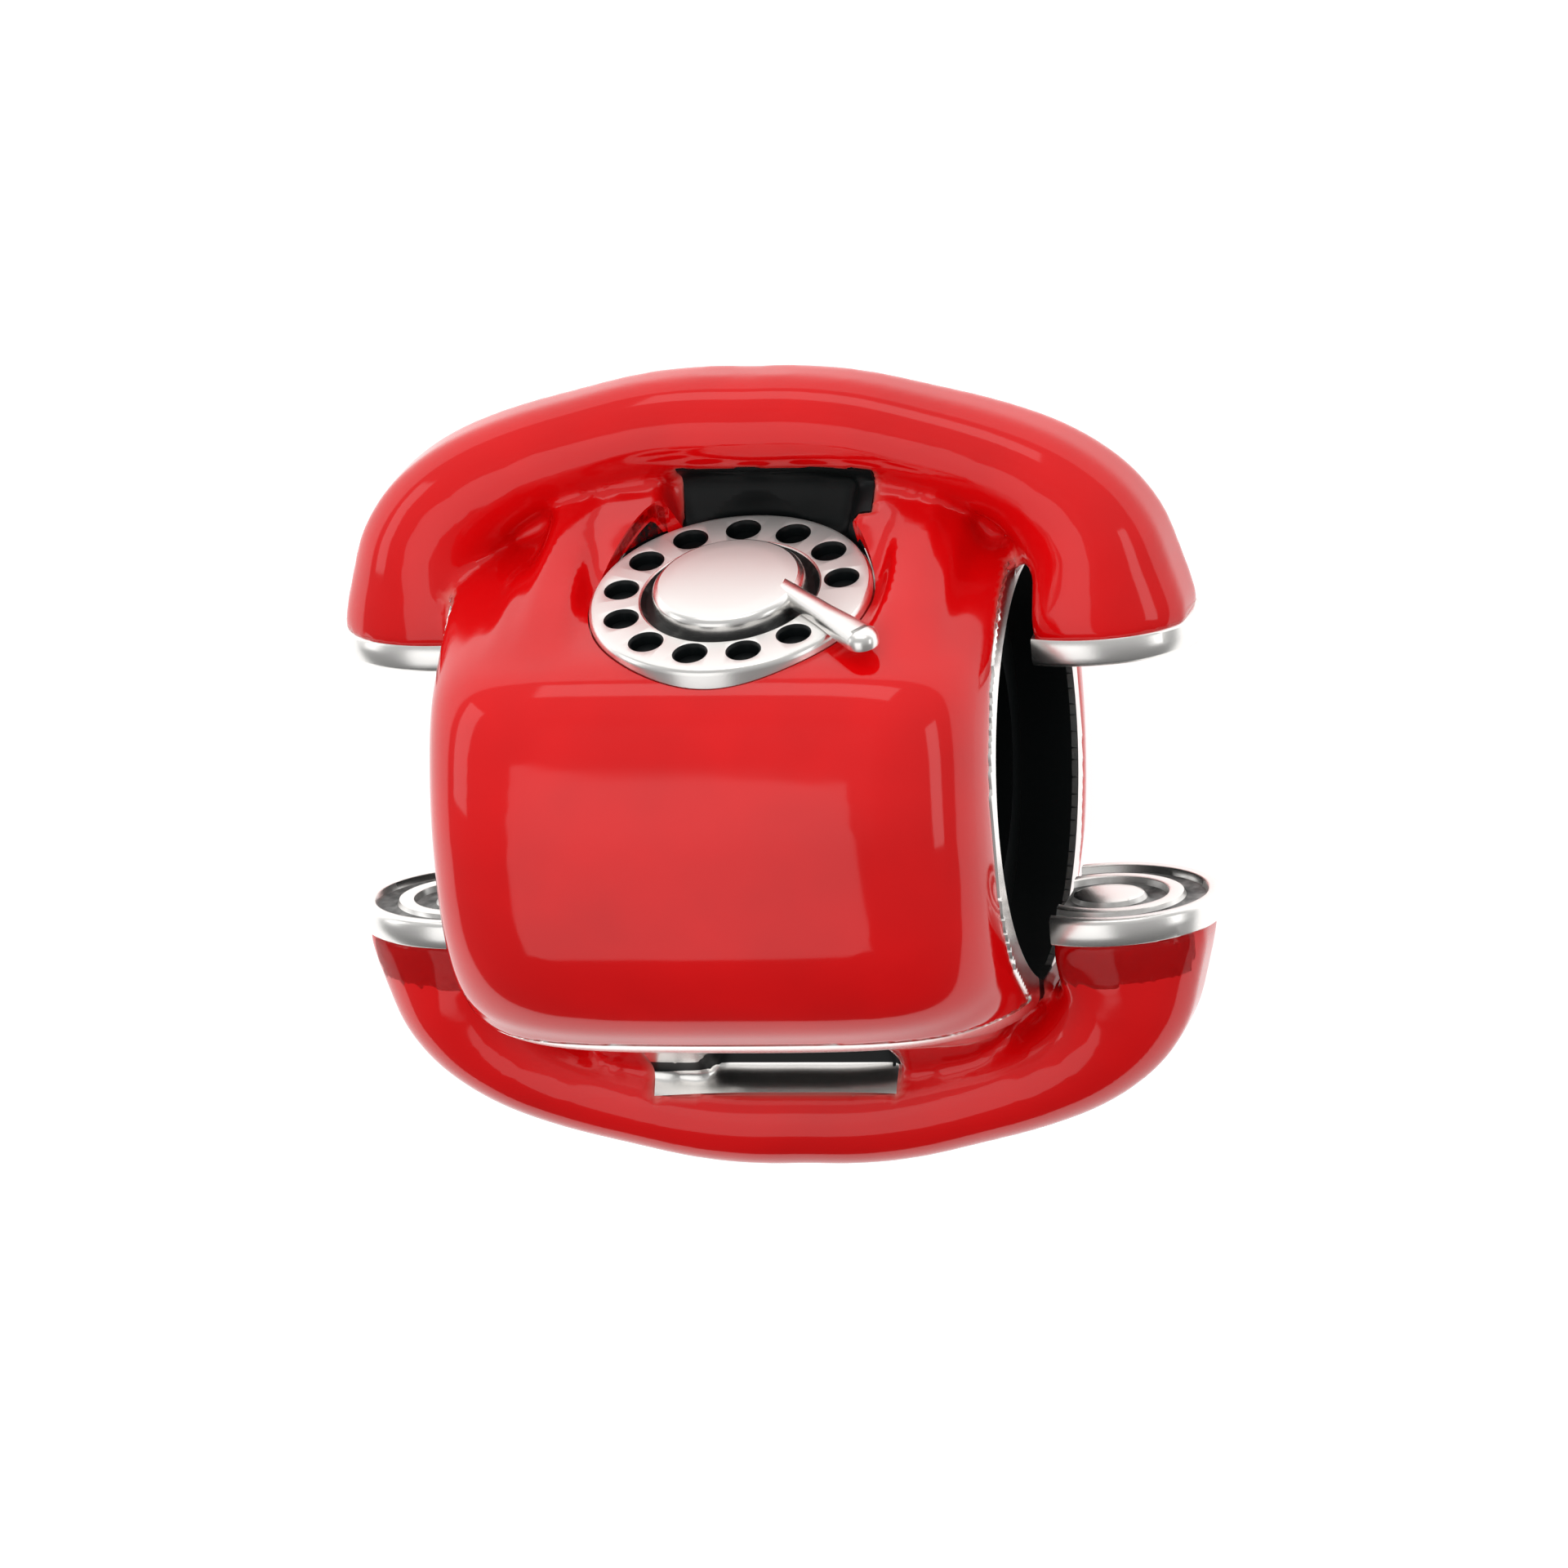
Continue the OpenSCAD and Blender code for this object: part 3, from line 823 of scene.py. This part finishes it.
def silverMaterial():
    # Cast sterling silver, blackened, then polished: bright on every edge and flat,
    # black with silver sulphide in the bore, the grooves and the finger holes
    look = silverLook
    mat, tree = newMaterial("oxidisedSterlingSilver")
    coord = addNode(tree, "ShaderNodeTexCoord")
    grain = addNode(tree, "ShaderNodeTexNoise", values={"Scale": 1 / (look["brush"] * mm), "Detail": 4.0},
                    links={"Vector": coord.outputs["Object"]})
    dark = addNode(tree, "ShaderNodeAttribute", {"attribute_name": "tarnish"})
    spread = addNode(tree, "ShaderNodeMath", {"operation": "MULTIPLY_ADD"},
                     {1: look["breakUp"], 2: -look["breakUp"] / 2},
                     {0: grain.outputs["Fac"]})
    total = addNode(tree, "ShaderNodeMath", {"operation": "ADD"},
                    links={0: dark.outputs["Fac"], 1: spread.outputs["Value"]})
    mask = addNode(tree, "ShaderNodeMapRange", {"interpolation_type": "SMOOTHSTEP"},
                   {"From Min": look["darkFrom"], "From Max": look["darkTo"]},
                   {"Value": total.outputs["Value"]})
    colour = addNode(tree, "ShaderNodeMix", {"data_type": "RGBA"},
                     {"A": linear(look["polished"]), "B": linear(look["oxide"])},
                     {"Factor": mask.outputs["Result"]})
    satin = addNode(tree, "ShaderNodeAttribute", {"attribute_name": "satin"})
    bright = addNode(tree, "ShaderNodeMix", {}, {"A": look["roughness"], "B": look["satinRoughness"]},
                     {"Factor": satin.outputs["Fac"]})
    rough = addNode(tree, "ShaderNodeMix", {}, {"B": look["oxideRoughness"]},
                    {"Factor": mask.outputs["Result"], "A": bright.outputs["Result"]})
    solid = addNode(tree, "ShaderNodeMix", {}, {"A": 1.0, "B": look["satinMetallic"]},
                    {"Factor": satin.outputs["Fac"]})
    metal = addNode(tree, "ShaderNodeMix", {}, {"B": 0.0},
                    {"Factor": mask.outputs["Result"], "A": solid.outputs["Result"]})
    bump = addNode(tree, "ShaderNodeBump",
                   values={"Strength": look["brushStrength"], "Distance": look["brushHeight"] * mm},
                   links={"Height": grain.outputs["Fac"]})
    shader = addNode(tree, "ShaderNodeBsdfPrincipled", values={"Specular IOR Level": look["oxideSpecular"]},
                     links={"Base Color": colour.outputs["Result"], "Roughness": rough.outputs["Result"],
                            "Metallic": metal.outputs["Result"], "Normal": bump.outputs["Normal"]})
    addNode(tree, "ShaderNodeOutputMaterial", links={"Surface": shader.outputs["BSDF"]})
    return mat


enamel = enamelMaterial()
sterling = silverMaterial()
for obj, mat in ((frontEnamel, enamel), (backEnamel, enamel), (silver, sterling)):
    obj.data.materials.clear()
    obj.data.materials.append(mat)
for name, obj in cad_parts.items():
    obj.data.materials.clear()
    obj.data.materials.append(sterling if name == "silver_casting" else enamel)

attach(frontEnamel, "root")
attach(backEnamel, "root")
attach(silver, "root")
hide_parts("front_body_enamel", "front_handset_enamel")
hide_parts("back_body_enamel", "back_handset_enamel")
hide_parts("silver_casting")


# Studio, placed as seen by the standing bead: X to the right, Y away, Z up in the picture

studio = {
    "floor": "#9C9C9B", "glow": "#FFFFFF", "floorGlow": 0.92, "floorRoughness": 0.6, "floorHalf": 600,
    "world": "#FFFFFF", "worldBelow": 0.1, "worldAbove": 0.66,
    # place and size in millimetres, brightness of the surface, seen in reflections or not
    "lights": {
        "frontCard": ((-54, -183, -36), (142, 192), 0.85, True),
        "topBox": ((-10, -60, 190), (160, 60), 1.2, True),
        "leftCard": ((-190, -60, 60), (60, 140), 1.2, True),
        "rightCard": ((190, -90, 20), (50, 140), 1.4, True),
        "fill": ((-30, -230, 60), (180, 180), 2.2, False),
        "topFill": ((-10, -120, 180), (180, 90), 0.4, False),
    },
}


def makeFloor():
    # white paper sweep that glows a little, so the bead's red doesn't tint it
    low = sizeBefore[0][2]
    half = studio["floorHalf"] * mm
    corners = [(-half, -half, low), (half, -half, low), (half, half, low), (-half, half, low)]
    floor = newObject("floor", corners, [(0, 1, 2, 3)])
    mat, tree = newMaterial("whiteStudioSweep")
    shader = addNode(tree, "ShaderNodeBsdfPrincipled",
                     values={"Base Color": linear(studio["floor"]), "Roughness": studio["floorRoughness"],
                             "Emission Color": linear(studio["glow"]), "Emission Strength": studio["floorGlow"]})
    addNode(tree, "ShaderNodeOutputMaterial", links={"Surface": shader.outputs["BSDF"]})
    floor.data.materials.append(mat)


def makeLight(name, place, size, brightness, reflected):
    data = bpy.data.lights.new(name, "AREA")
    data.shape = "RECTANGLE"
    data.size, data.size_y = size[0] * mm, size[1] * mm
    data.energy = brightness * math.pi * data.size * data.size_y
    light = bpy.data.objects.new(name, data)
    place = laid @ Vector(place) * mm
    light.location = place
    # its height runs along the standing bead's Z
    back = place.normalized()
    side = (laid @ Vector((0, 0, 1))).cross(back).normalized()
    rise = back.cross(side)
    light.matrix_world = Matrix.Translation(place) @ Matrix((side, rise, back)).transposed().to_4x4()
    light.visible_glossy = reflected
    bpy.context.scene.collection.objects.link(light)


makeFloor()
world = bpy.data.worlds.new("studio")
bpy.context.scene.world = world
world.use_nodes = True
sky = world.node_tree
sky.nodes["Background"].inputs["Color"].default_value = linear(studio["world"])
# brighter towards the standing bead's top, which is Y as it lies
coord = addNode(sky, "ShaderNodeTexCoord")
axes = addNode(sky, "ShaderNodeSeparateXYZ", links={"Vector": coord.outputs["Generated"]})
glow = addNode(sky, "ShaderNodeMapRange",
               values={"From Min": -1.0, "To Min": studio["worldBelow"], "To Max": studio["worldAbove"]},
               links={"Value": axes.outputs["Y"]})
sky.links.new(glow.outputs["Result"], sky.nodes["Background"].inputs["Strength"])
for name, settings in studio["lights"].items():
    makeLight(name, *settings)

# Camera at the photo's angle to the standing bead
view = {"azimuth": 15.0, "elevation": 18.5, "roll": 5.2, "distance": 0.2, "picture": 1920, "perMm": 91.0,
        "centre": (956.0, 939.3), "sensor": 36}
a, e, r = (math.radians(view[k]) for k in ("azimuth", "elevation", "roll"))
back = Vector((math.sin(a) * math.cos(e), -math.cos(a) * math.cos(e), math.sin(e)))
level = Vector((math.cos(a), math.sin(a), 0))
rise = Vector((-math.sin(a) * math.sin(e), math.cos(a) * math.sin(e), math.cos(e)))
right = level * math.cos(r) - rise * math.sin(r)
up = level * math.sin(r) + rise * math.cos(r)
half = view["picture"] / 2
target = (right * (half - view["centre"][0]) - up * (half - view["centre"][1])) / view["perMm"] * mm
lens = bpy.data.cameras.new("camera")
lens.sensor_width = view["sensor"]
lens.lens = view["sensor"] * view["distance"] * view["perMm"] / mm / view["picture"]
lens.clip_start = 0.001
lens.clip_end = 10
camera = bpy.data.objects.new("camera", lens)
camera.matrix_world = laid @ Matrix.Translation(target + back * view["distance"]) @ Matrix(
    (right, up, back)).transposed().to_4x4()
bpy.context.scene.collection.objects.link(camera)
bpy.context.scene.camera = camera
bpy.context.scene.view_settings.view_transform = "Standard"
print("studio and camera set")
